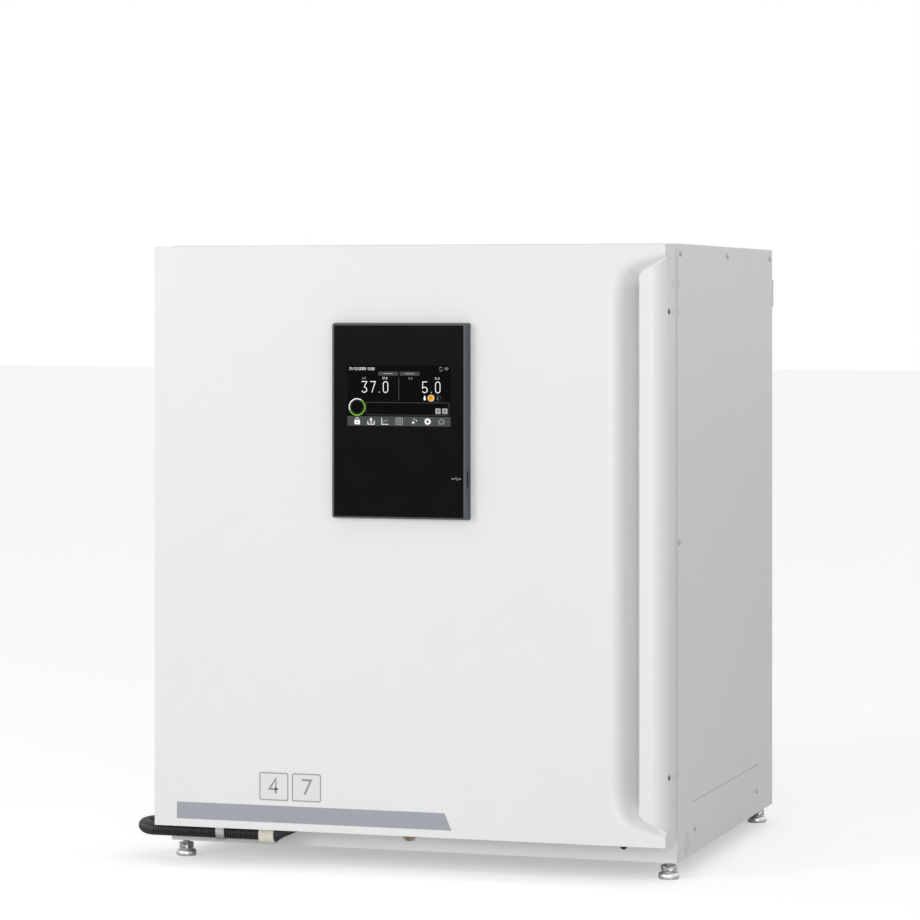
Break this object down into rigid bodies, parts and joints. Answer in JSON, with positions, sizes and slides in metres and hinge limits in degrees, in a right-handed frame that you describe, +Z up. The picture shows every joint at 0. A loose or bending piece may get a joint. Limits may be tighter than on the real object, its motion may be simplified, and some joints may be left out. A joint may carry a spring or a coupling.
{
  "type": "carbon dioxide incubator",
  "caption": "Upright white cell-culture incubator with a thick hinged door, moulded side grip, black touch panel, inner glass door, sliding shelves and levelling feet.",
  "frame": {"origin": "on the floor under the middle of the cabinet's width, half way between the control panel's face and the rear hooks", "axes": "+X to the right seen from the front, +Y to the back, +Z up"},
  "size_m": [0.8257, 0.736, 0.905],
  "materials": {
    "white_paint": "satin white powder coat",
    "side_paint": "satin white powder coat",
    "frame_paint": "satin pale grey powder coat",
    "zinc_sheet": "plain zinc-coated sheet",
    "stainless": "electropolished stainless steel",
    "bright_steel": "bright turned steel",
    "hinge_steel": "satin white powder coat",
    "bezel_grey": "fine-textured dark grey",
    "panel_glass": "glossy black cover glass",
    "display_black": "dark touch display",
    "socket_metal": "stamped shell",
    "foam": "closed-cell foam",
    "gasket_grey": "soft blue-grey gasket",
    "silicone": "translucent silicone",
    "clear_glass": "clear safety glass",
    "plug_plastic": "pale grey-green plastic",
    "screw_steel": "zinc-plated screw",
    "dark_screw": "black oxide screw",
    "black_plastic": "black plastic",
    "conduit_black": "corrugated black plastic",
    "boot_rubber": "black rubber",
    "sleeve_cream": "cream plastic",
    "clamp_metal": "plain stamped metal",
    "lamp_glass": "clear quartz tube",
    "brass": "plain brass"
  },
  "bodies": {
    "cabinet": {"hinge_cabinet_leaves": "hinge_steel", "front_frame": "frame_paint", "side_panel_left": "side_paint", "side_panel_right": "side_paint", "top_panel": "side_paint", "rear_panel": "zinc_sheet", "rear_cover": "zinc_sheet", "base_tray": "zinc_sheet", "insulation_boards": "foam", "chamber_liner": "stainless", "chamber_gasket": "silicone", "shelf_frames": "stainless", "rear_duct": "stainless", "fan_motor": "black_plastic", "uv_lamp": "lamp_glass", "chamber_sensors": "stainless", "access_port_sleeve": "stainless", "side_cover": "side_paint", "cabinet_plugs": "plug_plastic", "cabinet_screws": "screw_steel", "rear_hooks": "zinc_sheet", "power_inlet": "black_plastic", "gas_nipples": "brass", "front_cap": "black_plastic", "drain_plug": "brass", "inner_hinge_brackets": "stainless", "latch_keeper": "stainless", "conduit_loop": "conduit_black"},
    "outer_door": {"door_outer_shell": "white_paint", "door_insulation": "foam", "door_inner_panel": "frame_paint", "door_gasket": "gasket_grey", "hinge_door_leaves": "hinge_steel", "control_bezel": "bezel_grey", "control_glass": "panel_glass", "display_module": "display_black", "usb_socket": "socket_metal", "door_hole_plugs": "plug_plastic", "door_side_screws": "dark_screw", "conduit_run": "conduit_black", "conduit_clamp": "clamp_metal", "conduit_sleeve": "sleeve_cream", "conduit_boot": "boot_rubber"},
    "inner_door": {"inner_door_glass": "clear_glass", "inner_hinge_leaves": "stainless", "latch_plate": "stainless"},
    "latch": {"latch_lever": "black_plastic"},
    "shelf_1": {"shelf_1": "stainless"},
    "shelf_2": {"shelf_2": "stainless"},
    "shelf_3": {"shelf_3": "stainless"},
    "shelf_4": {"shelf_4": "stainless"},
    "pan": {"humidity_pan": "stainless", "pan_cover": "stainless"},
    "fan": {"fan_impeller": "stainless"},
    "port_stopper": {"access_port_stopper": "silicone"},
    "power_switch": {"power_switch": "black_plastic"},
    "foot_front_left": {"levelling_foot_front_left": "bright_steel"},
    "foot_front_right": {"levelling_foot_front_right": "bright_steel"},
    "foot_rear_left": {"levelling_foot_rear_left": "bright_steel"},
    "foot_rear_right": {"levelling_foot_rear_right": "bright_steel"}
  },
  "joints": [
    {"name": "outer_door_hinge", "type": "hinge", "parent": "cabinet", "child": "outer_door", "pos_m": [-0.391, -0.2881, 0.48], "axis": [0, 0, -1], "range_deg": [0, 125], "deforming": ["conduit_loop"]},
    {"name": "inner_door_hinge", "type": "hinge", "parent": "cabinet", "child": "inner_door", "pos_m": [-0.349, -0.2792, 0.465], "axis": [0, 0, -1], "range_deg": [0, 112.5]},
    {"name": "latch_turn", "type": "hinge", "parent": "inner_door", "child": "latch", "pos_m": [0.321, -0.277, 0.465], "axis": [0, -1, 0], "range_deg": [0, 90]},
    {"name": "shelf_1_slide", "type": "slide", "parent": "cabinet", "child": "shelf_1", "axis": [0, -1, 0], "range_m": [0, 0.12]},
    {"name": "shelf_2_slide", "type": "slide", "parent": "cabinet", "child": "shelf_2", "axis": [0, -1, 0], "range_m": [0, 0.12]},
    {"name": "shelf_3_slide", "type": "slide", "parent": "cabinet", "child": "shelf_3", "axis": [0, -1, 0], "range_m": [0, 0.12]},
    {"name": "shelf_4_slide", "type": "slide", "parent": "cabinet", "child": "shelf_4", "axis": [0, -1, 0], "range_m": [0, 0.12]},
    {"name": "pan_slide", "type": "slide", "parent": "cabinet", "child": "pan", "axis": [0, -1, 0], "range_m": [0, 0.12]},
    {"name": "fan_spin", "type": "hinge", "parent": "cabinet", "child": "fan", "pos_m": [0, 0.248, 0.725], "axis": [0, 1, 0], "continuous": true},
    {"name": "stopper_pull", "type": "slide", "parent": "cabinet", "child": "port_stopper", "axis": [0, 1, 0], "range_m": [0, 0.072]},
    {"name": "power_switch_rock", "type": "hinge", "parent": "cabinet", "child": "power_switch", "pos_m": [0.313, 0.347, 0.193], "axis": [-1, 0, 0], "range_deg": [0, 18]},
    {"name": "foot_front_left_turn", "type": "hinge", "parent": "cabinet", "child": "foot_front_left", "pos_m": [-0.3688, -0.267, 0.03], "axis": [0, 0, 1], "continuous": true},
    {"name": "foot_front_right_turn", "type": "hinge", "parent": "cabinet", "child": "foot_front_right", "pos_m": [0.3688, -0.267, 0.03], "axis": [0, 0, 1], "continuous": true},
    {"name": "foot_rear_left_turn", "type": "hinge", "parent": "cabinet", "child": "foot_rear_left", "pos_m": [-0.3688, 0.314, 0.03], "axis": [0, 0, 1], "continuous": true},
    {"name": "foot_rear_right_turn", "type": "hinge", "parent": "cabinet", "child": "foot_rear_right", "pos_m": [0.3688, 0.314, 0.03], "axis": [0, 0, 1], "continuous": true}
  ],
  "couplings": [
    {"joint": "inner_door_hinge", "follows": "outer_door_hinge", "ratio": 0.9},
    {"joint": "shelf_1_slide", "follows": "outer_door_hinge", "m_per_rad": 0.055},
    {"joint": "shelf_2_slide", "follows": "outer_door_hinge", "m_per_rad": 0.055},
    {"joint": "shelf_3_slide", "follows": "outer_door_hinge", "m_per_rad": 0.055},
    {"joint": "shelf_4_slide", "follows": "outer_door_hinge", "m_per_rad": 0.055},
    {"joint": "pan_slide", "follows": "outer_door_hinge", "m_per_rad": 0.055}
  ]
}
